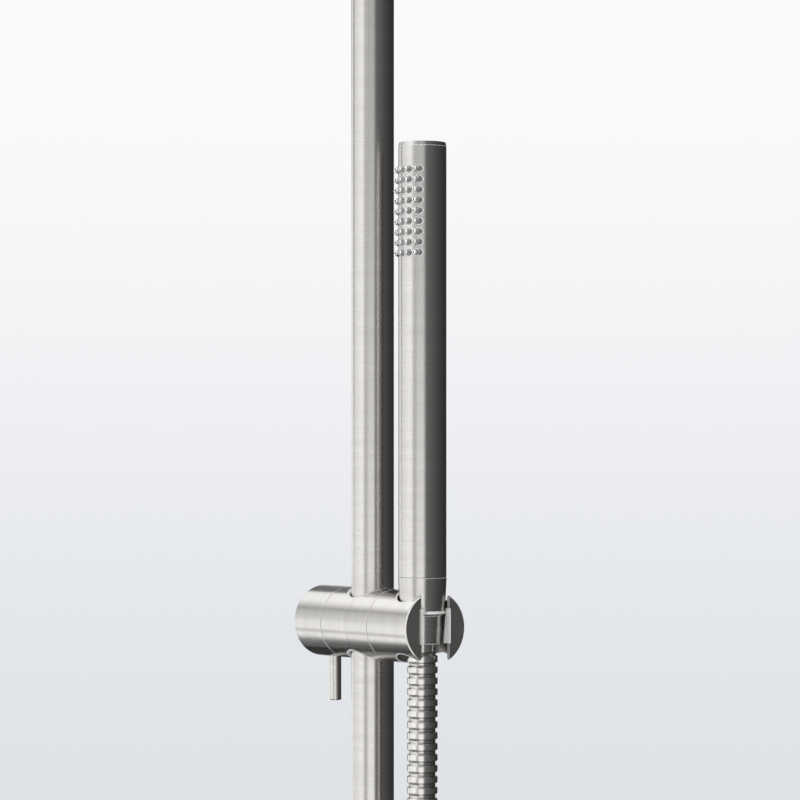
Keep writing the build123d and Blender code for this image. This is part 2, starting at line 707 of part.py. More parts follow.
def make_bracket(side):
    """Round bracket with its rail socket above (1) or below (-1) its axis."""
    back = -PLATE_THICKNESS - FREE
    front = rail_y - BRACKET_FRONT
    body = rod_y(bracket_r, front, back)
    body = chamfer(body.faces().sort_by(Axis.Y)[0].edges(), BRACKET_BEVEL)
    boss_floor = -PLATE_THICKNESS - BOSS_LENGTH - BOSS_END_PLAY
    body -= rod_y(BOSS_D / 2 + RUNNING, boss_floor, back)
    low, high = sorted((side * SOCKET_FLOOR, side * bracket_r))
    body -= rod_z(rail_r + SEATED, low, high, y=rail_y)
    body -= rod_y(RAIL_GRUB_D / 2, rail_y, boss_floor, z=side * RAIL_GRUB_HEIGHT)
    grub_y = boss_floor + BOSS_LENGTH / 2
    return body - rod_z(GRUB_D / 2, -bracket_r, -BOSS_D / 2, y=grub_y)


def make_lower_bracket():
    """Lower bracket, with the water way from the inlet to the outlet."""
    body = make_bracket(1)
    inlet_floor = -PLATE_THICKNESS - BOSS_LENGTH - BOSS_END_PLAY - INLET_DEPTH
    body -= rod_y(HALF_INCH_THREAD_D / 2, inlet_floor, -PLATE_THICKNESS)
    body -= rod_y(WATERWAY_D / 2, rail_y, inlet_floor)
    body -= rod_z(WATERWAY_D / 2, OUTLET_SOCKET_TOP, 0, y=rail_y)
    body -= rod_z(OUTLET_SOCKET_D / 2, -bracket_r, OUTLET_SOCKET_TOP, y=rail_y)
    return body - rod_z(OUTLET_COLLAR_D / 2 + RUNNING, -bracket_r, OUTLET_COLLAR_TOP, y=rail_y)


def make_outlet_nipple():
    """Threaded outlet under the lower bracket."""
    nipple = rod_z(OUTLET_SOCKET_D / 2 - SEATED, OUTLET_COLLAR_BOTTOM, OUTLET_SOCKET_TOP)
    nipple += rod_z(OUTLET_COLLAR_D / 2, OUTLET_COLLAR_BOTTOM, OUTLET_COLLAR_TOP)
    nipple += rod_z(HALF_INCH_THREAD_D / 2, outlet_thread_end, OUTLET_COLLAR_BOTTOM)
    nipple -= rod_z(WATERWAY_D / 2, outlet_thread_end, OUTLET_SOCKET_TOP)
    return nipple - rod_z(VALVE_D / 2, outlet_thread_end, outlet_thread_end + VALVE_LENGTH)


def make_check_valve():
    """Non-return cartridge in the outlet."""
    top = outlet_thread_end + VALVE_LENGTH
    body = rod_z(VALVE_D / 2 - SEATED, outlet_thread_end, top)
    return body - rod_z(VALVE_BORE_D / 2, outlet_thread_end, top - VALVE_HEAD_LENGTH)


def make_inlet_nipple():
    """Tube with a thread in the lower bracket, a plain waist and a thread for the wall's fitting."""
    waist_front = -PLATE_THICKNESS - BOSS_LENGTH - BOSS_END_PLAY
    front = waist_front - INLET_DEPTH
    nipple = rod_y(HALF_INCH_THREAD_D / 2 - SEATED, front, waist_front)
    nipple += rod_y(INLET_WAIST_D / 2, waist_front, 0)
    nipple += rod_y(HALF_INCH_THREAD_D / 2, 0, INLET_REACH)
    return nipple - rod_y(INLET_BORE_D / 2, front, INLET_REACH)


def make_wall_plate(bored):
    """Round plate with two countersunk holes and a boss that the bracket slides on."""
    plate = rod_y(PLATE_D / 2, -PLATE_THICKNESS, 0)
    plate += rod_y(BOSS_D / 2, -PLATE_THICKNESS - BOSS_LENGTH, -PLATE_THICKNESS)
    for x in (-SCREW_SPACING / 2, SCREW_SPACING / 2):
        plate -= rod_y(SCREW_D / 2 + SEATED, -PLATE_THICKNESS, 0, x=x)
        plate -= cone_y(SCREW_HEAD_D / 2 + SEATED, SCREW_D / 2 + SEATED, -PLATE_THICKNESS,
                        -PLATE_THICKNESS + SCREW_HEAD_D / 2 - SCREW_D / 2, x=x)
    if bored:
        plate -= rod_y(HALF_INCH_THREAD_D / 2 + RUNNING, -PLATE_THICKNESS - BOSS_LENGTH, 0)
    return plate


def make_rose():
    """Round cover over the wall plate."""
    rose = rod_y(ROSE_D / 2, -ROSE_HEIGHT, 0)
    rose = fillet(rose.faces().sort_by(Axis.Y)[0].edges(), ROSE_ROUND)
    rose -= rod_y(ROSE_D / 2 - ROSE_WALL, -ROSE_HEIGHT + ROSE_WALL, 0)
    return rose - rod_y(bracket_r + RUNNING, -ROSE_HEIGHT, 0)


def at_both_brackets(shape):
    """The same piece at the lower and the upper bracket."""
    return [shape, Pos(0, 0, BRACKET_SPACING) * shape]


def make_wall_screws():
    """Four countersunk wood screws, with a plain waist in the plate."""
    screws = []
    neck = -PLATE_THICKNESS + SCREW_HEAD_D / 2 - SCREW_D / 2
    for x in (-SCREW_SPACING / 2, SCREW_SPACING / 2):
        screw = cone_y(SCREW_HEAD_D / 2, SCREW_D / 2, -PLATE_THICKNESS, neck, x=x)
        screw += rod_y(SCREW_WAIST_D / 2, neck, 0, x=x)
        screw += rod_y(SCREW_D / 2, 0, SCREW_LENGTH - SCREW_TIP, x=x)
        screw += cone_y(SCREW_D / 2, SCREW_POINT_D / 2, SCREW_LENGTH - SCREW_TIP, SCREW_LENGTH, x=x)
        screws += at_both_brackets(screw)
    return Compound(children=screws)


def grub(diameter, length):
    """Socket set screw along +Z from zero."""
    screw = rod_z(diameter / 2, 0, length)
    hexagon = extrude(RegularPolygon(GRUB_HEX / 2, 6), GRUB_SOCKET_DEPTH)
    return screw - hexagon


def make_bracket_grub_screws():
    """Two set screws that hold the brackets on their bosses."""
    grub_y = -PLATE_THICKNESS - BOSS_LENGTH - BOSS_END_PLAY + BOSS_LENGTH / 2
    length = (BRACKET_D - BOSS_D) / 2
    screw = Pos(0, grub_y, -bracket_r) * grub(GRUB_D - 2 * SEATED, length - SEATED)
    return Compound(children=at_both_brackets(screw))


def make_rail_grub_screws():
    """Two hidden set screws that hold the rail in its sockets."""
    turned = Rot(90, 0, 0) * grub(RAIL_GRUB_D - 2 * SEATED, RAIL_GRUB_LENGTH)
    back = rail_y + rail_r + SEATED + RAIL_GRUB_LENGTH
    low = Pos(0, back, RAIL_GRUB_HEIGHT) * turned
    high = Pos(0, back, BRACKET_SPACING - RAIL_GRUB_HEIGHT) * turned
    return Compound(children=[low, high])


def at_outlet(shape):
    """Moves a piece drawn about the outlet's axis under the lower bracket."""
    return Pos(0, rail_y, 0) * shape


raise_to_top = Pos(0, 0, BRACKET_SPACING)

nodes = {
    "rail_tube": make_rail_tube(),
    "slider_body": make_slider_body(),
    "rail_bush_upper": make_rail_bush(1),
    "rail_bush_lower": make_rail_bush(-1),
    "holder_head": make_holder_head(),
    "holder_liner": make_holder_liner(),
    "head_pivot": make_head_pivot(),
    "friction_washer": make_friction_washer(),
    "head_friction_ring": make_friction_ring(),
    "clamp_nut": make_clamp_nut(),
    "brake_shoe": make_brake_shoe(),
    "clamp_knob": make_clamp_knob(),
    "clamp_circlip": make_clamp_circlip(),
    "clamp_spindle": make_clamp_spindle(),
    "knob_end_cap": make_knob_end_cap(),
    "lever_pin": make_lever_pin(),
    "handset_tube": make_handset_tube(),
    "handset_cap": make_handset_cap(),
    "nozzle_strip": make_nozzle_strip(),
    "spray_chamber": make_spray_chamber(),
    "handset_duct": make_handset_duct(),
    "handset_sleeve": make_handset_sleeve(),
    "handset_connector": make_handset_connector(),
    "flow_restrictor": make_flow_restrictor(),
    "seat_ring": make_seat_ring(),
    "hose_nut": make_hose_nut(),
    "hose_washer": make_hose_washer(),
    "hose_ferrule": make_hose_ferrule(),
    "hose": make_hose(),
    "hose_liner": make_hose_liner(),
    "outlet_washer": at_outlet(make_outlet_washer()),
    "outlet_nut": at_outlet(make_outlet_nut()),
    "outlet_ferrule": at_outlet(make_outlet_ferrule()),
    "outlet_nipple": at_outlet(make_outlet_nipple()),
    "check_valve": at_outlet(make_check_valve()),
    "inlet_nipple": make_inlet_nipple(),
    "lower_bracket": make_lower_bracket(),
    "upper_bracket": raise_to_top * make_bracket(-1),
    "lower_wall_plate": make_wall_plate(True),
    "upper_wall_plate": raise_to_top * make_wall_plate(False),
    "lower_rose": make_rose(),
    "upper_rose": raise_to_top * make_rose(),
    "wall_screws": make_wall_screws(),
    "bracket_grub_screws": make_bracket_grub_screws(),
    "rail_grub_screws": make_rail_grub_screws(),
}

os.makedirs("parts", exist_ok=True)
for name, shape in nodes.items():
    export_step(shape, f"parts/{name}.step")
print(len(nodes), "nodes")
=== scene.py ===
# %% [markdown]
# # A shower rail set in brushed stainless steel
# The set is a round rail on two wall brackets, a round slider barrel that carries a stick
# handset, and a ribbed metal hose to the outlet in the lower bracket.
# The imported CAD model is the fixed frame. It already has every turned part at its true size,
# so this script gives those parts their finish, makes the hose as one smooth hanging curve,
# and sets up the studio. All lengths are metres, the wall is the plane Y = 0 and Z is up.

import math

import bpy
import numpy as np
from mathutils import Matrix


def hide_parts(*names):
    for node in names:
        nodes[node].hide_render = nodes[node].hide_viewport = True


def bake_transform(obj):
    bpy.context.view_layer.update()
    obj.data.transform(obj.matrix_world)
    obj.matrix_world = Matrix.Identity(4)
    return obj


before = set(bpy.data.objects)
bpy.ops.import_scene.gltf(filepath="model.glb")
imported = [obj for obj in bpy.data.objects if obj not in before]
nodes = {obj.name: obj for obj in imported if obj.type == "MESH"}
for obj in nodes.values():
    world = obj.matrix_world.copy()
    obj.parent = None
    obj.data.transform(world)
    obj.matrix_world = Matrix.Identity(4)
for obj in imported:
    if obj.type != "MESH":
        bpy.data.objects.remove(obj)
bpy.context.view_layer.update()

# %% [markdown]
# ## Camera
# The picture shows the slider from the left and a long lens keeps the rail's edges parallel.
# The horizon lies below the middle of the picture while all uprights stay upright, which is
# what a level camera with a little vertical shift gives, so no tilt is used.

# %% camera
MM = 0.001
VIEW_TURN = math.radians(35.4)
# where the eye is, measured from the middle of the barrel's front face
EYE_DISTANCE = 1453.6 * MM
EYE_LEFT = 16.04 * MM
EYE_RISE = 78.7 * MM
PICTURE_WIDTH = 800
HORIZON_SHIFT = 55
into_view = np.array((math.sin(VIEW_TURN), math.cos(VIEW_TURN), 0.0))
to_right = np.array((math.cos(VIEW_TURN), -math.sin(VIEW_TURN), 0.0))
barrel_face = np.array((0.0, -104.75, 680.0)) * MM
eye = barrel_face - EYE_DISTANCE * into_view - EYE_LEFT * to_right + (0, 0, EYE_RISE)

camera = bpy.data.objects.new("camera", bpy.data.cameras.new("camera"))
camera.data.lens = 144.0
camera.data.sensor_width = 36.0
camera.data.shift_y = HORIZON_SHIFT / PICTURE_WIDTH
camera.location = eye
camera.rotation_euler = (math.pi / 2, 0.0, -VIEW_TURN)
bpy.context.scene.collection.objects.link(camera)
bpy.context.scene.camera = camera
bpy.context.scene.view_settings.view_transform = "Standard"
print("camera at", [round(v, 3) for v in eye])

# %% [markdown]
# ## The hose
# The real hose is 1.5 m of wound steel strip: broad bands with narrow grooves between them,
# five millimetres apart, over a plastic tube. It leaves the handset straight down, hangs in
# one loose loop and comes up into the outlet.
# Its line is a NURBS spline, because a hanging hose has no corners. The points below are the
# spline's control points, in millimetres.

# %% the hose's line
hose_points_mm = [
    (0, -94.75, 668.9), (0, -94.75, 560), (-2, -94.6, 440), (-8, -94, 310),
    (-20, -92, 180), (-38, -89, 60), (-58, -86, -50), (-76, -83, -150),
    (-87, -80, -242), (-86, -77, -310), (-55, -74.5, -361), (-2, -72, -380),
    (50, -69.5, -362), (82, -67, -312), (84, -64.5, -248), (67, -61.5, -186),
    (38, -58.5, -138), (0, -55, -96), (0, -55, -40),
]


def spline_points(points_mm, steps=48):
    """The points of a NURBS spline of order 3 through the whole list of control points, in metres:
    Blender evaluates the curve, and the vertices of the line it gives are read back in order."""
    curve = bpy.data.curves.new("hose_line", "CURVE")
    curve.dimensions = "3D"
    curve.resolution_u = steps
    spline = curve.splines.new("NURBS")
    spline.points.add(len(points_mm) - 1)
    homogeneous = np.ones((len(points_mm), 4))
    homogeneous[:, :3] = np.array(points_mm) * MM
    spline.points.foreach_set("co", homogeneous.ravel())
    spline.order_u = 3
    spline.use_endpoint_u = True
    holder = bpy.data.objects.new("hose_line", curve)
    line = bpy.data.meshes.new_from_object(holder)
    found = np.empty(len(line.vertices) * 3)
    line.vertices.foreach_get("co", found)
    bpy.data.objects.remove(holder)
    bpy.data.meshes.remove(line)
    bpy.data.curves.remove(curve)
    return found.reshape(-1, 3)


hose_line = spline_points(hose_points_mm)
steps_along = np.linalg.norm(np.diff(hose_line, axis=0), axis=1)
hose_line = hose_line[np.r_[True, steps_along > 1e-7]]
run = np.r_[0.0, np.cumsum(np.linalg.norm(np.diff(hose_line, axis=0), axis=1))]
print("hose line:", len(hose_line), "points,", round(run[-1], 4), "m long")

# %% [markdown]
# ### A ribbed tube along the line
# A band is a ring whose edges are slightly rounded, and the groove beside it shows the next
# turn of strip. The tube is one grid: rings along the line times points round each ring, and
# the ring's radius goes up and down with the distance along the hose.

# %% ribbed tube
RIB_PITCH = 5.0 * MM
RIB_RADIUS = 7.0 * MM
GROOVE_RADIUS = 6.05 * MM
ROUND = 28
# where the profile's points lie in one pitch, as shares of the pitch, and how far each one
# stands out between the groove (0) and the band (1)
rib_profile = np.array([
    (0.00, 0.00), (0.315, 0.00), (0.34, 0.66), (0.38, 0.95), (0.46, 1.00),
    (0.84, 1.00), (0.92, 0.95), (0.96, 0.66),
])


def grid_mesh(name, points):
    """A mesh from a grid of points, shape (rings, round, 3): each cell of the grid is one quad, the
    columns join up round the tube, and a fan to the middle of the first and last ring closes it."""
    rings, around = points.shape[:2]
    ring, column = np.meshgrid(np.arange(rings - 1), np.arange(around), indexing="ij")
    after = (column + 1) % around
    quads = np.stack([ring * around + column, ring * around + after,
                      (ring + 1) * around + after, (ring + 1) * around + column], -1).reshape(-1, 4)
    middles = np.array([points[0].mean(0), points[-1].mean(0)])
    first, last = rings * around, rings * around + 1
    turn = np.arange(around)
    following = (turn + 1) % around
    start_fan = np.stack([np.full(around, first), following, turn], -1)
    far = (rings - 1) * around
    end_fan = np.stack([np.full(around, last), far + turn, far + following], -1)
    mesh = bpy.data.meshes.new(name)
    mesh.from_pydata(np.vstack([points.reshape(-1, 3), middles]).tolist(), [],
                     quads.tolist() + start_fan.tolist() + end_fan.tolist())
    mesh.validate()
    smooth = np.r_[np.ones(len(quads), bool), np.zeros(2 * around, bool)]
    mesh.polygons.foreach_set("use_smooth", smooth)
    mesh.update()
    return mesh


def ribbed_tube(name, start, end):
    """A tube round the hose's line from run length start to end: at distance s its centre is the
    line's point, its direction T the line's, and its ring is centre + radius(s) * (cos a * U +
    sin a * V), where U is the Y axis made square to T and V is T cross U."""
    turns = int(round((end - start) / RIB_PITCH))
    shares = (np.arange(turns)[:, None] + rib_profile[None, :, 0]).ravel()
    height = np.tile(rib_profile[:, 1], turns)
    distance = start + np.r_[shares, turns] * RIB_PITCH
    radius = GROOVE_RADIUS + (RIB_RADIUS - GROOVE_RADIUS) * np.r_[height, 0.0]
    distance = np.clip(distance, 0.0, run[-1])
    centre = np.stack([np.interp(distance, run, hose_line[:, k]) for k in range(3)], -1)
    reach = 2.0 * MM
    ahead, behind = np.clip(distance + reach, 0, run[-1]), np.clip(distance - reach, 0, run[-1])
    along = np.stack([np.interp(ahead, run, hose_line[:, k]) -
                      np.interp(behind, run, hose_line[:, k]) for k in range(3)], -1)
    along /= np.linalg.norm(along, axis=1, keepdims=True)
    across = np.array((0.0, 1.0, 0.0)) - along * along[:, 1:2]
    across /= np.linalg.norm(across, axis=1, keepdims=True)
    third = np.cross(along, across)
    angle = np.linspace(0, 2 * math.pi, ROUND, endpoint=False)
    ring = (np.cos(angle)[None, :, None] * across[:, None, :] +
            np.sin(angle)[None, :, None] * third[:, None, :])
    points = centre[:, None, :] + radius[:, None, None] * ring
    made = bpy.data.objects.new(name, grid_mesh(name, points))
    bpy.context.scene.collection.objects.link(made)
    # how far along the hose each vertex lies, for the finish that follows it
    where = np.r_[np.repeat(distance, ROUND), distance[0], distance[-1]]
    made.data.attributes.new("along", "FLOAT", "POINT").data.foreach_set("value", where)
    path = centre[:: len(rib_profile)]
    return made, path


# %% [markdown]
# ### The hose is cut at the joints
# The hose starts on the handset, so its top goes with the handset, the holder's tilt, the
# slider's turn and its slide up and down the rail, while its end stays at the outlet.
# The hose is cut in a groove between two stretches, and each piece is listed with the two bodies
# of one joint and where a blend between them starts and ends. The loop's blend stays at its
# middle all over the piece, so it stands for half of the slide's travel, as the loop of a real
# hose takes. The real hose keeps its length, while a blend stretches one leg and presses the
# other together, so the ribs spread or crowd there.

# %% hose pieces
def run_at_height(z, leg):
    """The run length, in whole pitches, where the line passes height z on the way down or up."""
    lowest = int(np.argmin(hose_line[:, 2]))
    part = slice(0, lowest + 1) if leg == "down" else slice(lowest, None)
    heights, runs = hose_line[part, 2], run[part]
    if leg == "down":
        heights, runs = heights[::-1], runs[::-1]
    return round(float(np.interp(z, heights, runs)) / RIB_PITCH) * RIB_PITCH


HOSE_END = math.floor(run[-1] / RIB_PITCH) * RIB_PITCH
# heights of the cuts below the handset, the holder and the slider, and where the loop begins
HANDSET_CUT, HOLDER_CUT, SLIDER_CUT = 0.585, 0.44, 0.32
LOOP_TOP = -0.310
# a blend that starts and ends this far away is at its middle all over the piece
FAR = 100.0
cuts = [0.0, run_at_height(HANDSET_CUT, "down"), run_at_height(HOLDER_CUT, "down"),
        run_at_height(SLIDER_CUT, "down"), run_at_height(LOOP_TOP, "down"),
        run_at_height(LOOP_TOP, "up"), HOSE_END]
# name, body above, body below, and where the blend between the two starts and ends
hose_bends = [
    ("hose_at_handset", "hose_end", "holder", (0, 0, 0.665), (0, 0, 0.59)),
    ("hose_below_holder", "holder", "slider", (0, 0, 0.58), (0, 0, 0.445)),
    ("hose_below_slider", "slider", "carriage", (0, 0, 0.435), (0, 0, 0.325)),
    ("hose_down_leg", "carriage", "root", (0, 0, 0.32), (0, 0, 2 * LOOP_TOP - 0.32)),
    ("hose_loop", "carriage", "root", (-FAR, 0, 0), (FAR, 0, 0)),
    ("hose_up_leg", "carriage", "root", (0, 0, 2 * LOOP_TOP + 0.06), (0, 0, -0.06)),
]
hose_pieces = []
for (name, above, below, start, end), from_run, to_run in zip(hose_bends, cuts, cuts[1:]):
    piece, path = ribbed_tube(name, from_run, to_run)
    hose_pieces.append((piece, path, to_run - from_run, (above, below, start, end)))
    print(name, "length", round(to_run - from_run, 4), "faces", len(piece.data.polygons))

# %% [markdown]
# ## Colours and nodes
# Every material is built from a few nodes. One function turns a screen colour to the linear
# values that shaders use, and one function adds a node with its settings and links.

# %% helpers for materials
def linear(hex_colour):
    """A colour like "#cdcbc8" as linear RGBA: a channel c becomes ((c + 0.055) / 1.055) ** 2.4."""
    channel = np.array([int(hex_colour[i:i + 2], 16) for i in (1, 3, 5)]) / 255
    curved = ((channel + 0.055) / 1.055) ** 2.4
    value = np.where(channel <= 0.04045, channel / 12.92, curved)
    return (*value.tolist(), 1.0)


def add(tree, kind, links=None, **settings):
    """Adds a node: settings are its properties, and links gives a socket a value or a source."""
    made = tree.nodes.new(kind)
    for key, value in settings.items():
        setattr(made, key, value)
    for socket, value in (links or {}).items():
        if isinstance(value, bpy.types.NodeSocket):
            tree.links.new(value, made.inputs[socket])
        else:
            made.inputs[socket].default_value = value
    return made


def new_material(name):
    """An empty material with its output node."""
    material = bpy.data.materials.new(name)
    material.use_nodes = True
    tree = material.node_tree
    tree.nodes.clear()
    return material, tree, tree.nodes.new("ShaderNodeOutputMaterial")


# %% [markdown]
# ## Brushed stainless steel
# Stainless tube is finished on a belt while it turns, so it has fine scratches that run round
# it, each a few tenths of a millimetre apart. They do two things for the eye. Reflections
# stay sharp across the scratches' direction and smear along the tube, which gives the long
# bright and dark bands, and the scratches show as faint streaks.
# The smear is the shader's anisotropy, with the tube's own axis as tangent. On a flat turned
# end the scratches are circles, so there the tangent is the direction away from the axis.
# The streaks are noise in the coordinates distance along the axis plus distance from it,
# which changes fast, and direction round the axis, which changes slowly.
#
# ### Painted edge highlights
# Every machined edge is broken by a small bevel, and the finish paints a fine pale line on it, a
# painted highlight for the light that the bevel catches. The bevels are only tenths of a
# millimetre wide, so they aren't new geometry: each finish finds them by their distance from an
# axis or their height.

# %% axes and small node helpers
AXES = {"x": (1.0, 0.0, 0.0), "y": (0.0, 1.0, 0.0), "z": (0.0, 0.0, 1.0)}
RAIL_AXIS = (0.0, -0.055, 0.0)
HANDSET_AXIS = (0.0, -0.09475, 0.0)
BARREL_AXIS = (0.0, 0.0, 0.680)
LEVER_AXIS = (0.0, -0.02405, 0.0)


def between(tree, value, low, high):
    """1 where the value lies from low to high, else 0."""
    return add(tree, "ShaderNodeMath", {0: value, 1: (low + high) / 2, 2: (high - low) / 2},
               operation="COMPARE").outputs[0]


def combine(tree, operation, *masks):
    """All masks multiplied (MULTIPLY, every one holds) or the largest (MAXIMUM, any one holds)."""
    result = masks[0]
    for mask in masks[1:]:
        result = add(tree, "ShaderNodeMath", {0: result, 1: mask}, operation=operation).outputs[0]
    return result


def off_axis(tree, place, through, axis):
    """The place measured from a point, and the part of it that is square to the axis."""
    flat = tuple(1.0 - v for v in AXES[axis])
    offset = add(tree, "ShaderNodeVectorMath", {0: place, 1: through},
                 operation="SUBTRACT").outputs[0]
    outward = add(tree, "ShaderNodeVectorMath", {0: offset, 1: flat},
                  operation="MULTIPLY").outputs[0]
    return offset, outward


def length_of(tree, vector):
    """The length of a vector."""
    return add(tree, "ShaderNodeVectorMath", {0: vector}, operation="LENGTH").outputs["Value"]


def from_line(tree, place, through, axis):
    """The distance from the line along an axis through a point."""
    return length_of(tree, off_axis(tree, place, through, axis)[1])


def split(tree, vector, absolute=False):
    """The three parts of a vector, or their sizes."""
    if absolute:
        vector = add(tree, "ShaderNodeVectorMath", {0: vector}, operation="ABSOLUTE").outputs[0]
    return add(tree, "ShaderNodeSeparateXYZ", {0: vector}).outputs


print("axes:", {"rail": RAIL_AXIS, "handset": HANDSET_AXIS, "barrel": BARREL_AXIS})

# %% the nozzle pattern
# middle of the spray face, and half of the pattern's column and row spacing
FACE_MIDDLE_Y, FACE_MIDDLE_Z = 94.75 * MM, 869.7 * MM
HALF_COLUMN, HALF_ROW = 1.85 * MM, 2.375 * MM


def pattern_distance(tree, place):
    """The distance from the axis of the nearest nozzle of the 9 by 5 pattern, and the distances
    across and along the spray face from the pattern's middle."""
    parts = split(tree, place)
    across = add(tree, "ShaderNodeMath", {0: parts[1], 1: FACE_MIDDLE_Y},
                 operation="ADD").outputs[0]
    along = add(tree, "ShaderNodeMath", {0: parts[2], 1: FACE_MIDDLE_Z},
                operation="SUBTRACT").outputs[0]
    near_column = add(tree, "ShaderNodeMath", {0: across, 1: HALF_COLUMN, 2: -HALF_COLUMN},
                      operation="WRAP").outputs[0]
    near_row = add(tree, "ShaderNodeMath", {0: along, 1: HALF_ROW, 2: -HALF_ROW},
                   operation="WRAP").outputs[0]
    to_axis = add(tree, "ShaderNodeCombineXYZ", {0: 0.0, 1: near_column, 2: near_row}).outputs[0]
    return length_of(tree, to_axis), across, along


print("nozzles stand", 2 * HALF_COLUMN / MM, "by", 2 * HALF_ROW / MM, "mm apart")

# %% where the painted edge highlights go
# rings round the rail's, the handset's and the barrel's axes, from one radius to another
RAIL_RIM = (10.43 * MM, 12.1 * MM)
HEAD_RIM = (11.46 * MM, 12.3 * MM)
BARREL_SKIN = (16.2 * MM, 17.0 * MM)
# distance of the slot's walls from the barrel's middle, and how much painted light they get
SLOT_WALL = (8.05 * MM, 8.25 * MM)
WALL_PAINTED_LIGHT = 0.28
# the painted highlight on the bevels is brighter towards the barrel's top, where more light falls
BEVEL_LOW, BEVEL_HIGH = 668 * MM, 688 * MM
# painted highlight ring round each nozzle hole, the handset's front side, and half of the pattern's
# size
HOLE_RING = (1.55 * MM, 1.78 * MM)
SPRAY_SIDE = (-12 * MM, -3 * MM)
HALF_WIDTH, HALF_HEIGHT = 9.25 * MM, 21.3 * MM
# heights of the painted highlight lines on the handset and the nut
CAP_LINE = (899.3 * MM, 899.55 * MM)
SLEEVE_LINE = (702.5 * MM, 702.85 * MM)
NUT_FOOT = (672.4 * MM, 672.9 * MM)
NUT_HEAD = (685.25 * MM, 685.8 * MM)


def barrel_edge_highlights(tree, place, normal):
    """The barrel's painted edge highlights: the rims of the two bores, which lie in narrow rings
    round the rail's and the handset's axes and face up or down, the bevels at the ends and the
    seams, which lie near the barrel's skin and face between its axis and its side, and the slot's
    two walls.
    The rims get the full painted highlight, the bevels a weaker one that grows towards the top,
    where more light falls, and the walls a faint painted light."""
    facing = split(tree, normal, absolute=True)
    upright = between(tree, facing[2], 0.3, 1.0)
    rail_rim = between(tree, from_line(tree, place, RAIL_AXIS, "z"), *RAIL_RIM)
    head_rim = between(tree, from_line(tree, place, HANDSET_AXIS, "z"), *HEAD_RIM)
    rims = combine(tree, "MULTIPLY", combine(tree, "MAXIMUM", rail_rim, head_rim), upright)
    skin = between(tree, from_line(tree, place, BARREL_AXIS, "y"), *BARREL_SKIN)
    upper = add(tree, "ShaderNodeMapRange", {
        "Value": split(tree, place)[2], "From Min": BEVEL_LOW, "From Max": BEVEL_HIGH,
        "To Min": 0.1, "To Max": 0.65}).outputs[0]
    bevel = combine(tree, "MULTIPLY", skin, between(tree, facing[1], 0.5, 0.9), upper)
    beside = between(tree, split(tree, place, absolute=True)[0], *SLOT_WALL)
    wall = combine(tree, "MULTIPLY", beside, between(tree, facing[0], 0.98, 1.01), WALL_PAINTED_LIGHT)
    return combine(tree, "MAXIMUM", rims, bevel, wall)


def handset_line_highlights(tree, place, normal):
    """The handset's painted highlight lines: a ring round every nozzle hole, found from the
    distance to the nearest place of the 9 by 5 pattern, the cap's lower edge and the sleeve's upper
    edge."""
    distance, across, along = pattern_distance(tree, place)
    parts = split(tree, place)
    ring = combine(tree, "MULTIPLY", between(tree, distance, *HOLE_RING),
                   between(tree, parts[0], *SPRAY_SIDE),
                   between(tree, across, -HALF_WIDTH, HALF_WIDTH),
                   between(tree, along, -HALF_HEIGHT, HALF_HEIGHT), 0.85)
    cap_line = combine(tree, "MULTIPLY", between(tree, parts[2], *CAP_LINE), 0.5)
    sleeve_line = combine(tree, "MULTIPLY", between(tree, parts[2], *SLEEVE_LINE), 0.4)
    return combine(tree, "MAXIMUM", ring, cap_line, sleeve_line)


def nut_rim_highlights(tree, place, normal):
    """Painted highlight lines on the nut's two rims."""
    height = split(tree, place)[2]
    rims = combine(tree, "MAXIMUM", between(tree, height, *NUT_FOOT),
                   between(tree, height, *NUT_HEAD))
    return combine(tree, "MULTIPLY", rims, 0.4)


print("edge rings (mm):", [round(v / MM, 2) for v in RAIL_RIM + HEAD_RIM + BARREL_SKIN])


# %% brushed steel
# the streak noise lies between these two values, and the scratches are this deep
STREAK_LOW, STREAK_HIGH = 0.12, 0.42
SCRATCH_DEPTH = 0.01 * MM


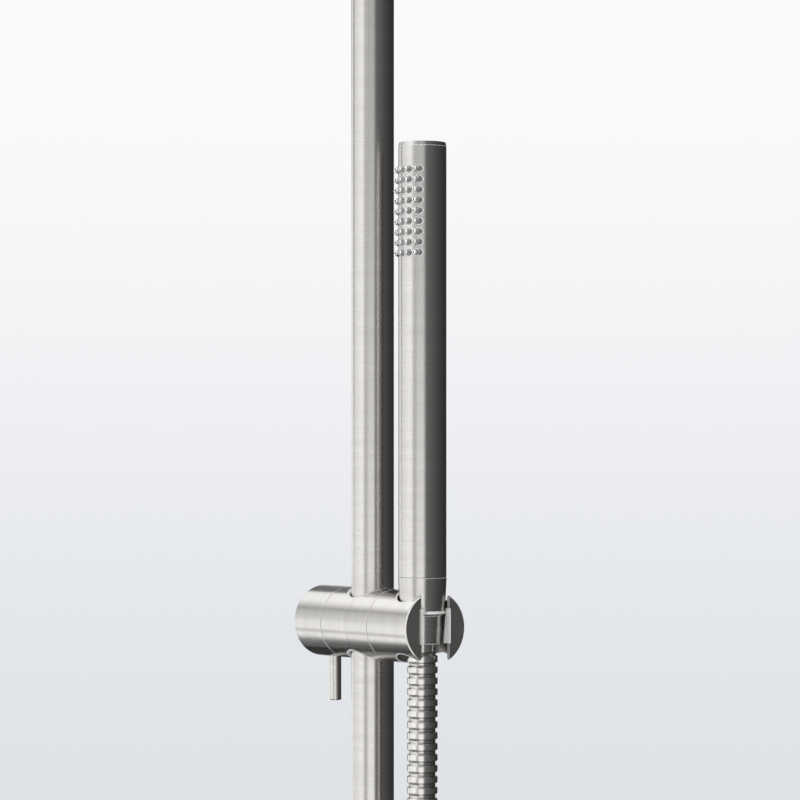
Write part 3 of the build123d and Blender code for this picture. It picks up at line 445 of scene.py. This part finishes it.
def brushed_steel(name, axis, through, rough=0.28, streak_mm=0.5, contrast=0.05,
                  light="#cfcdca", dark="#c5c3c0", anisotropy=0.88, relief_share=0.08, edges=None):
    """Stainless steel scratched in circles round the given axis, which passes through a point in
    metres. streak_mm is the scratches' spacing and contrast how far the roughness varies. edges
    finds where the painted highlights go: fine lines where a pale, less metallic colour is painted
    in for light caught on edges, seams and walls."""
    material, tree, output = new_material(name)
    direction = AXES[axis]
    place = add(tree, "ShaderNodeTexCoord").outputs["Object"]
    offset, outward = off_axis(tree, place, through, axis)
    distance = length_of(tree, outward)
    around = add(tree, "ShaderNodeVectorMath", {0: outward}, operation="NORMALIZE").outputs[0]
    height = add(tree, "ShaderNodeVectorMath", {0: offset, 1: direction},
                 operation="DOT_PRODUCT").outputs["Value"]
    lengthways = add(tree, "ShaderNodeMath", {0: height, 1: distance},
                     operation="ADD").outputs[0]
    # tangent: along the axis on the side, away from the axis on a turned end
    axis_out = add(tree, "ShaderNodeVectorTransform", {0: direction}, vector_type="VECTOR",
                   convert_from="OBJECT", convert_to="WORLD").outputs[0]
    away_out = add(tree, "ShaderNodeVectorTransform", {0: around}, vector_type="VECTOR",
                   convert_from="OBJECT", convert_to="WORLD").outputs[0]
    normal = add(tree, "ShaderNodeNewGeometry").outputs["Normal"]
    facing = add(tree, "ShaderNodeVectorMath", {0: normal, 1: axis_out},
                 operation="DOT_PRODUCT").outputs["Value"]
    end_share = add(tree, "ShaderNodeMath", {0: facing}, operation="ABSOLUTE").outputs[0]
    tangent = add(tree, "ShaderNodeMix", {"Factor": end_share, 4: axis_out, 5: away_out},
                  data_type="VECTOR").outputs[1]
    # streaks: fast along the axis, slow round it
    fast = add(tree, "ShaderNodeMath", {0: lengthways, 1: 1.0 / (streak_mm * MM)},
               operation="MULTIPLY").outputs[0]
    slow = add(tree, "ShaderNodeVectorMath", {0: around, "Scale": 1.3},
               operation="SCALE").outputs[0]
    fast_vector = add(tree, "ShaderNodeVectorMath", {0: direction, "Scale": fast},
                      operation="SCALE").outputs[0]
    coordinates = add(tree, "ShaderNodeVectorMath", {0: slow, 1: fast_vector},
                      operation="ADD").outputs[0]
    scratches = add(tree, "ShaderNodeTexNoise", {
        "Vector": coordinates, "Scale": 1.0, "Detail": 3.0, "Roughness": 0.6}).outputs[0]
    patches = add(tree, "ShaderNodeTexNoise", {
        "Vector": coordinates, "Scale": 0.09, "Detail": 2.0, "Roughness": 0.5}).outputs[0]
    streaks = add(tree, "ShaderNodeMath", {0: scratches, 1: patches},
                  operation="MULTIPLY").outputs[0]
    tone = add(tree, "ShaderNodeMapRange", {
        "Value": streaks, "From Min": STREAK_LOW, "From Max": STREAK_HIGH}).outputs[0]
    colour = add(tree, "ShaderNodeMix", {"Factor": tone, 6: linear(dark), 7: linear(light)},
                 data_type="RGBA").outputs[2]
    roughness = add(tree, "ShaderNodeMapRange", {
        "Value": streaks, "From Min": STREAK_LOW, "From Max": STREAK_HIGH,
        "To Min": rough + contrast / 2, "To Max": rough - contrast / 2}).outputs[0]
    relief = add(tree, "ShaderNodeBump", {"Height": scratches, "Strength": relief_share,
                                          "Distance": SCRATCH_DEPTH}).outputs[0]
    metallic = 1.0
    # painted highlights: a pale, nearly non-metallic colour, #f3f2f0, is mixed in where the edge
    # mask finds an edge line, standing for light caught there
    if edges:
        true_normal = add(tree, "ShaderNodeNewGeometry").outputs["True Normal"]
        edge = edges(tree, place, true_normal)
        colour = add(tree, "ShaderNodeMix", {"Factor": edge, 6: colour, 7: linear("#f3f2f0")},
                     data_type="RGBA").outputs[2]
        roughness = add(tree, "ShaderNodeMix", {"Factor": edge, 2: roughness, 3: 0.5}).outputs[0]
        metallic = add(tree, "ShaderNodeMapRange", {
            "Value": edge, "To Min": 1.0, "To Max": 0.1}).outputs[0]
    shader = add(tree, "ShaderNodeBsdfPrincipled", {
        "Base Color": colour, "Metallic": metallic, "Roughness": roughness,
        "Anisotropic": anisotropy, "Tangent": tangent, "Normal": relief}).outputs[0]
    tree.links.new(shader, output.inputs["Surface"])
    return material


# %% steel finishes
steel_rail = brushed_steel("brushed_steel_rail", "z", RAIL_AXIS)
steel_handset = brushed_steel("brushed_steel_handset", "z", HANDSET_AXIS, edges=handset_line_highlights)
steel_barrel = brushed_steel("brushed_steel_barrel", "y", BARREL_AXIS, rough=0.20, contrast=0.02,
                             anisotropy=0.9, relief_share=0.03, edges=barrel_edge_highlights)
steel_lever = brushed_steel("brushed_steel_lever", "z", LEVER_AXIS)
steel_lower = brushed_steel("brushed_steel_lower_bracket", "y", (0.0, 0.0, 0.0))
steel_upper = brushed_steel("brushed_steel_upper_bracket", "y", (0.0, 0.0, 1.02))
steel_nut = brushed_steel("turned_steel_nut", "z", HANDSET_AXIS, streak_mm=0.3, edges=nut_rim_highlights)
steel_outlet = brushed_steel("turned_steel_outlet_nut", "z", RAIL_AXIS, streak_mm=0.3)
print("steel finishes:", len(bpy.data.materials))

# %% [markdown]
# ### The hose's strip
# The strip is wound from polished steel, smoother than the brushed tube, and its grooves are
# painted one shade darker, a painted shade for the shadow they hold. The distance along the
# hose, kept on each vertex, gives the place in the pitch, so the painted shade stays in the
# grooves whichever way the hose bends.

# %% hose steel
def hose_steel():
    """Wound steel strip: bright bands, and grooves with painted shade, one shade darker."""
    material, tree, output = new_material("wound_steel_strip")
    along = add(tree, "ShaderNodeAttribute", attribute_name="along").outputs["Fac"]
    turns = add(tree, "ShaderNodeMath", {0: along, 1: RIB_PITCH}, operation="DIVIDE").outputs[0]
    share = add(tree, "ShaderNodeMath", {0: turns}, operation="FRACT").outputs[0]
    band = add(tree, "ShaderNodeMapRange", {
        "Value": share, "From Min": 0.28, "From Max": 0.36}).outputs[0]
    place = add(tree, "ShaderNodeTexCoord").outputs["Object"]
    # polishing lines across the hose: 0.4 mm apart along it and 3.3 mm long round it
    stretched = add(tree, "ShaderNodeMapping", {
        "Vector": place, "Scale": (300, 300, 2500)}).outputs[0]
    grain = add(tree, "ShaderNodeTexNoise", {
        "Vector": stretched, "Scale": 1.0, "Detail": 2.0}).outputs[0]
    # painted shade: the grooves take the darker colour
    shade = add(tree, "ShaderNodeMix", {"Factor": band, 6: linear("#c3c1be"), 7: linear("#cbc9c6")},
                data_type="RGBA").outputs[2]
    rough_groove = add(tree, "ShaderNodeMapRange", {
        "Value": band, "To Min": 0.12, "To Max": 0.15}).outputs[0]
    roughness = add(tree, "ShaderNodeMath", {0: grain, 1: 0.10, 2: rough_groove},
                    operation="MULTIPLY_ADD").outputs[0]
    shader = add(tree, "ShaderNodeBsdfPrincipled", {"Base Color": shade, "Metallic": 1.0,
                                                    "Roughness": roughness}).outputs[0]
    tree.links.new(shader, output.inputs["Surface"])
    return material


steel_hose = hose_steel()

# %% the hose's pieces get their finish
for piece, path, length, (above, below, start, end) in hose_pieces:
    piece.data.materials.append(steel_hose)
    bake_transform(piece)
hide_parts("hose", "hose_liner")
print("hose pieces:", len(hose_pieces))

# %% [markdown]
# ## Plastics, rubber, brass and plated steel
# The inner parts are moulded acetal and ABS, rubber washers, turned brass and zinc-plated
# screws. Moulded parts are one colour with a very fine grain from the tool, so they need only
# a little noise in roughness and relief.

# %% moulded and plated finishes
def moulded(name, hex_colour, rough, grain_mm, ior=1.5, depth_mm=0.01):
    """A moulded plastic or rubber: one colour with slight clouds, and a fine grain in relief."""
    material, tree, output = new_material(name)
    place = add(tree, "ShaderNodeTexCoord").outputs["Object"]
    grain = add(tree, "ShaderNodeTexNoise", {
        "Vector": place, "Scale": 1.0 / (grain_mm * MM), "Detail": 3.0}).outputs[0]
    clouds = add(tree, "ShaderNodeTexNoise", {
        "Vector": place, "Scale": 90.0, "Detail": 2.0}).outputs[0]
    base = linear(hex_colour)
    darker = tuple(v * 0.86 for v in base[:3]) + (1.0,)
    colour = add(tree, "ShaderNodeMix", {"Factor": clouds, 6: darker, 7: base},
                 data_type="RGBA").outputs[2]
    roughness = add(tree, "ShaderNodeMapRange", {"Value": grain, "To Min": rough - 0.07,
                                                 "To Max": rough + 0.07}).outputs[0]
    relief = add(tree, "ShaderNodeBump", {"Height": grain, "Strength": 0.3,
                                          "Distance": depth_mm * MM}).outputs[0]
    shader = add(tree, "ShaderNodeBsdfPrincipled", {"Base Color": colour, "Roughness": roughness,
                                                    "IOR": ior, "Normal": relief}).outputs[0]
    tree.links.new(shader, output.inputs["Surface"])
    return material


grey_acetal = moulded("grey_acetal_moulded", "#cfcfcc", 0.38, 0.4, ior=1.48)
black_acetal = moulded("black_acetal_moulded", "#232425", 0.40, 0.4, ior=1.48)
white_abs = moulded("white_abs_moulded", "#e4e4e1", 0.35, 0.5, ior=1.54)
black_rubber = moulded("black_rubber_moulded", "#1d1d1e", 0.62, 0.3, ior=1.52)
brass = brushed_steel("turned_brass", "y", (0.0, 0.0, 0.0), rough=0.30, streak_mm=0.3,
                      light="#d9b66b", dark="#c49d55", anisotropy=0.5)
zinc = brushed_steel("zinc_plated_steel", "y", (0.0, 0.0, 0.0), rough=0.36, streak_mm=0.4,
                     light="#c9ccce", dark="#b4b8bb", anisotropy=0.3)
print("finishes so far:", len(bpy.data.materials))

# %% [markdown]
# ### The nozzles
# The spray nozzles are silicone with a silvery, glossy skin, so that lime rubs off. Each is a
# small cone that is pale near its tip, round a bore that is painted dark, a painted shade for
# the hole. The distance from the nearest nozzle's axis, the same as for the painted highlight
# rings round the holes, tells the bore, the tip and the cone apart.

# %% nozzle silicone
# distances from a nozzle's axis: where the pale tip ends and is fully pale, and the bore's painted
# shade
TIP_EDGE, TIP_FULL, BORE_RADIUS = 1.02 * MM, 0.86 * MM, 0.42 * MM


def nozzle_silicone():
    """Glossy silver-grey silicone, pale within 1 mm of a nozzle's axis, with painted shade in its
    bore.
    """
    material, tree, output = new_material("silver_silicone_moulded")
    place = add(tree, "ShaderNodeTexCoord").outputs["Object"]
    distance = pattern_distance(tree, place)[0]
    tip = add(tree, "ShaderNodeMapRange", {
        "Value": distance, "From Min": TIP_EDGE, "From Max": TIP_FULL}).outputs[0]
    bore = between(tree, distance, 0.0, BORE_RADIUS)
    clouds = add(tree, "ShaderNodeTexNoise", {
        "Vector": place, "Scale": 700.0, "Detail": 2.0}).outputs[0]
    skin = add(tree, "ShaderNodeMix", {
        "Factor": clouds, 6: linear("#b8b8b7"), 7: linear("#d2d2d1")},
        data_type="RGBA").outputs[2]
    pale = add(tree, "ShaderNodeMix", {"Factor": tip, 6: skin, 7: linear("#f8f8f6")},
               data_type="RGBA").outputs[2]
    # painted shade: the bore is coloured near black where the hole's shadow falls
    colour = add(tree, "ShaderNodeMix", {"Factor": bore, 6: pale, 7: linear("#1c1c1c")},
                 data_type="RGBA").outputs[2]
    metallic = add(tree, "ShaderNodeMapRange", {
        "Value": tip, "To Min": 0.8, "To Max": 0.0}).outputs[0]
    roughness = add(tree, "ShaderNodeMapRange", {
        "Value": clouds, "To Min": 0.14, "To Max": 0.24}).outputs[0]
    shader = add(tree, "ShaderNodeBsdfPrincipled", {"Base Color": colour, "Metallic": metallic,
                                                    "Roughness": roughness, "IOR": 1.41}).outputs[0]
    tree.links.new(shader, output.inputs["Surface"])
    return material


silver_silicone = nozzle_silicone()
print("nozzle bore:", round(2 * BORE_RADIUS / MM, 2), "mm across")

# %% [markdown]
# ## Every CAD part gets its finish
# The steel's scratches run round each part's own axis, so the tubes, the barrel, the brackets
# and the lever each have their own version of the same steel.

# %% finishes on the CAD parts
finishes = {
    "rail_tube": steel_rail,
    "slider_body": steel_barrel, "holder_head": steel_barrel, "clamp_knob": steel_barrel,
    "knob_end_cap": steel_barrel, "lever_pin": steel_lever,
    "handset_tube": steel_handset, "handset_cap": steel_handset, "handset_sleeve": steel_handset,
    "hose_nut": steel_nut, "hose_ferrule": steel_nut,
    "lower_bracket": steel_lower, "lower_rose": steel_lower,
    "upper_bracket": steel_upper, "upper_rose": steel_upper,
    "outlet_nut": steel_outlet, "outlet_ferrule": steel_outlet,
    "holder_liner": grey_acetal, "seat_ring": grey_acetal, "rail_bush_upper": grey_acetal,
    "rail_bush_lower": grey_acetal, "brake_shoe": black_acetal, "spray_chamber": white_abs,
    "handset_duct": white_abs, "flow_restrictor": white_abs, "nozzle_strip": silver_silicone,
    "hose_washer": black_rubber, "outlet_washer": black_rubber, "head_friction_ring": black_rubber,
    "check_valve": white_abs, "handset_connector": steel_nut,
    "outlet_nipple": brass, "inlet_nipple": brass, "clamp_nut": brass,
    "clamp_spindle": brass,
}
for name, part in nodes.items():
    finish = finishes.get(name, zinc)
    if not part.material_slots:
        part.data.materials.append(finish)
    for slot in part.material_slots:
        slot.material = finish
print("plated parts:", sorted(set(nodes) - set(finishes)))

# %% [markdown]
# ## Studio
# Steel shows its surroundings, so the surroundings are the light. A pale backdrop surrounds
# everything, and curved walls stand round the set that only reflections see, so no view is
# blocked. From left to right they are a strip behind at the left, a broad panel at the left
# with a thin gap and a brighter top, a grey cloth, a near panel beside the camera, and a tall
# dark cloth that closes the right side and opens a little at the back. A low cloth under the
# left panel keeps the underside of the barrel dark.
# Two plain area lamps light the plastics and cast the shadow on the floor.

# %% backdrop
world = bpy.data.worlds.new("studio")
bpy.context.scene.world = world
world.use_nodes = True
sky = world.node_tree
sky.nodes.clear()
direction = add(sky, "ShaderNodeTexCoord").outputs["Generated"]
parts = add(sky, "ShaderNodeSeparateXYZ", {0: direction})
rise = add(sky, "ShaderNodeMapRange", {
    "Value": parts.outputs["Z"], "From Min": -0.12, "From Max": 0.13},
    interpolation_type="SMOOTHSTEP").outputs[0]
backdrop = add(sky, "ShaderNodeMix", {"Factor": rise, 6: linear("#dfe2e7"), 7: linear("#fafafb")},
               data_type="RGBA").outputs[2]
path_kind = add(sky, "ShaderNodeLightPath")
seen = add(sky, "ShaderNodeMath", {
    0: path_kind.outputs["Is Camera Ray"], 1: path_kind.outputs["Is Glossy Ray"]},
    operation="ADD").outputs[0]
seen = add(sky, "ShaderNodeMath", {0: seen, 1: path_kind.outputs["Is Transmission Ray"]},
           operation="ADD", use_clamp=True).outputs[0]
shown = add(sky, "ShaderNodeBackground", {"Color": backdrop, "Strength": 1.0}).outputs[0]
fill = add(sky, "ShaderNodeBackground", {"Color": linear("#e9ebee"), "Strength": 0.45}).outputs[0]
both = add(sky, "ShaderNodeMixShader", {0: seen, 1: fill, 2: shown}).outputs[0]
sky.links.new(both, add(sky, "ShaderNodeOutputWorld").inputs["Surface"])
print("backdrop nodes:", len(sky.nodes))

# %% panels and dark cloth
def curved_wall(name, left, right, radius, low, high, across, upward):
    """A wall on a cylinder round the rail: its points are at an angle from left to right, measured
    in degrees from the camera towards the picture's right, and at heights from low to high.
    Its glow is one ramp across, (angle, strength) pairs, times one upward, (height, strength)."""
    turn = np.radians(np.linspace(left, right, 49))
    back = -into_view
    outward = np.cos(turn)[:, None] * back + np.sin(turn)[:, None] * to_right
    base = np.array((0.0, -0.055, 0.0)) + radius * outward
    points = np.stack([base + (0, 0, low), base + (0, 0, high)])
    count = len(turn)
    column = np.arange(count - 1)
    faces = np.stack([column, column + 1, count + column + 1, count + column], -1)
    mesh = bpy.data.meshes.new(name)
    mesh.from_pydata(points.reshape(-1, 3).tolist(), [], faces.tolist())
    shares = {"across": np.tile(np.linspace(0, 1, count), 2),
              "upward": np.repeat((0.0, 1.0), count)}
    made = bpy.data.objects.new(name, mesh)
    bpy.context.scene.collection.objects.link(made)
    material, tree, output = new_material(name)
    glow = {}
    for key, pairs, first, last in (("across", across, left, right),
                                    ("upward", upward, low, high)):
        mesh.attributes.new(key, "FLOAT", "POINT").data.foreach_set("value", shares[key])
        share = add(tree, "ShaderNodeAttribute", attribute_name=key).outputs["Fac"]
        ramp = add(tree, "ShaderNodeValToRGB", {0: share})
        while len(ramp.color_ramp.elements) < len(pairs):
            ramp.color_ramp.elements.new(1.0)
        for element, (place, level) in zip(ramp.color_ramp.elements, pairs):
            element.position = (place - first) / (last - first)
            element.color = (level, level, level, 1.0)
        glow[key] = ramp.outputs[0]
    strength = add(tree, "ShaderNodeVectorMath", {0: glow["across"], 1: glow["upward"]},
                   operation="MULTIPLY").outputs[0]
    shader = add(tree, "ShaderNodeEmission", {"Color": strength, "Strength": 1.0}).outputs[0]
    tree.links.new(shader, output.inputs["Surface"])
    mesh.materials.append(material)
    made.visible_camera = made.visible_diffuse = made.visible_shadow = False
    made.visible_transmission = made.visible_volume_scatter = False


# %% the panels and cloths
# radius of the walls
WALL = 1.9
curved_wall("left_panel", -155, -44, WALL, -0.36, 3.2,
            [(-155, 1.05), (-109, 1.10), (-87, 1.18), (-75, 1.32), (-55, 1.36), (-49, 1.15),
             (-44, 0.8)],
            [(-0.36, 1.30), (-0.02, 1.30), (0.04, 0.70), (0.16, 0.70), (0.22, 1.22), (0.68, 1.12),
             (1.54, 0.92), (1.60, 0.32), (1.72, 0.32), (1.78, 1.55), (3.2, 1.55)])
curved_wall("left_gap", -126, -115, 0.99 * WALL, 0.72, 1.5, [(-126, 1.0), (-115, 1.0)],
            [(0.72, 0.6), (0.9, 0.2), (1.5, 0.2)])
curved_wall("back_left_panel", -180, -155, WALL, -9.0, 3.4, [(-180, 1.0), (-155, 1.0)],
            [(-9.0, 0.05), (0.20, 0.05), (0.26, 1.0), (1.08, 1.0), (1.14, 0.20), (3.4, 0.20)])
curved_wall("low_cloth", -155, -44, WALL, -9.0, -0.36, [(-155, 1.0), (-44, 1.0)],
            [(-9.0, 0.04), (-0.36, 0.04)])
curved_wall("gap_cloth", -44, -27, WALL, -2.2, 3.4, [(-44, 0.78), (-36, 0.70), (-27, 0.90)],
            [(-2.2, 1.0), (3.4, 1.0)])
curved_wall("front_panel", -27, 12, 0.9, -1.2, 2.2, [(-27, 0.85), (-18, 1.0), (5, 1.0), (12, 0.7)],
            [(-1.2, 1.45), (0.76, 1.45), (0.88, 0.55), (2.2, 0.55)])
curved_wall("right_cloth", 11, 180, WALL, -9.0, 4.4,
            [(11, 0.36), (20, 0.19), (45, 0.15), (70, 0.10), (100, 0.065), (140, 0.035),
             (161, 0.04), (166, 0.5), (180, 0.6)],
            [(-9.0, 1.0), (4.4, 1.0)])

# %% [markdown]
# ### Floor
# The set hangs on a wall, so the floor lies under the lowest place that the hose reaches when
# the slider is right down. It is matt paint, which keeps the shadow, and the camera sees it
# with a little glow of its own, so that it stays as pale as the backdrop behind it.

# %% floor
FLOOR_HEIGHT = -0.78
FLOOR_RADIUS = 9.0
FLOOR_SIDES = 96
FLOOR_GLOW = 0.5
floor_turn = np.linspace(0, 2 * math.pi, FLOOR_SIDES, endpoint=False)
floor_points = np.stack([FLOOR_RADIUS * np.cos(floor_turn), FLOOR_RADIUS * np.sin(floor_turn),
                         np.full(FLOOR_SIDES, FLOOR_HEIGHT)], -1)
floor_mesh = bpy.data.meshes.new("floor")
floor_mesh.from_pydata(floor_points.tolist(), [], [list(range(FLOOR_SIDES))])
floor = bpy.data.objects.new("floor", floor_mesh)
bpy.context.scene.collection.objects.link(floor)
paint = moulded("pale_floor_paint", "#dfe1e4", 0.7, 2.0)
tree = paint.node_tree
output = next(node for node in tree.nodes if node.type == "OUTPUT_MATERIAL")
painted = output.inputs["Surface"].links[0].from_socket
seen_by = add(tree, "ShaderNodeLightPath").outputs["Is Camera Ray"]
glow_share = add(tree, "ShaderNodeMath", {0: seen_by, 1: FLOOR_GLOW},
                 operation="MULTIPLY").outputs[0]
glow = add(tree, "ShaderNodeEmission", {
    "Color": linear("#dfe2e7"), "Strength": glow_share}).outputs[0]
both = add(tree, "ShaderNodeAddShader", {0: painted, 1: glow}).outputs[0]
tree.links.new(both, output.inputs["Surface"])
floor.data.materials.append(paint)
floor.visible_glossy = False
print("floor at", FLOOR_HEIGHT, "m")


# %% lamps
LOOK_AT = (0.0, -0.055, 0.45)


def lamp(name, place, size, watts):
    """A square area lamp that looks at the middle of the set and isn't seen in reflections."""
    light = bpy.data.lights.new(name, "AREA")
    light.size, light.energy = size, watts
    made = bpy.data.objects.new(name, light)
    made.location = place
    aim = np.array(LOOK_AT) - np.array(place)
    heading = math.atan2(aim[1], aim[0])
    drop = math.atan2(-aim[2], math.hypot(aim[0], aim[1]))
    made.rotation_euler = (math.pi / 2 - drop, 0.0, heading - math.pi / 2)
    made.visible_glossy = made.visible_camera = False
    bpy.context.scene.collection.objects.link(made)
    print(name, "at", place)


lamp("lamp_left", (-2.2, -1.2, 1.9), 1.6, 46)
lamp("lamp_front", (0.4, -2.4, 1.6), 1.6, 30)
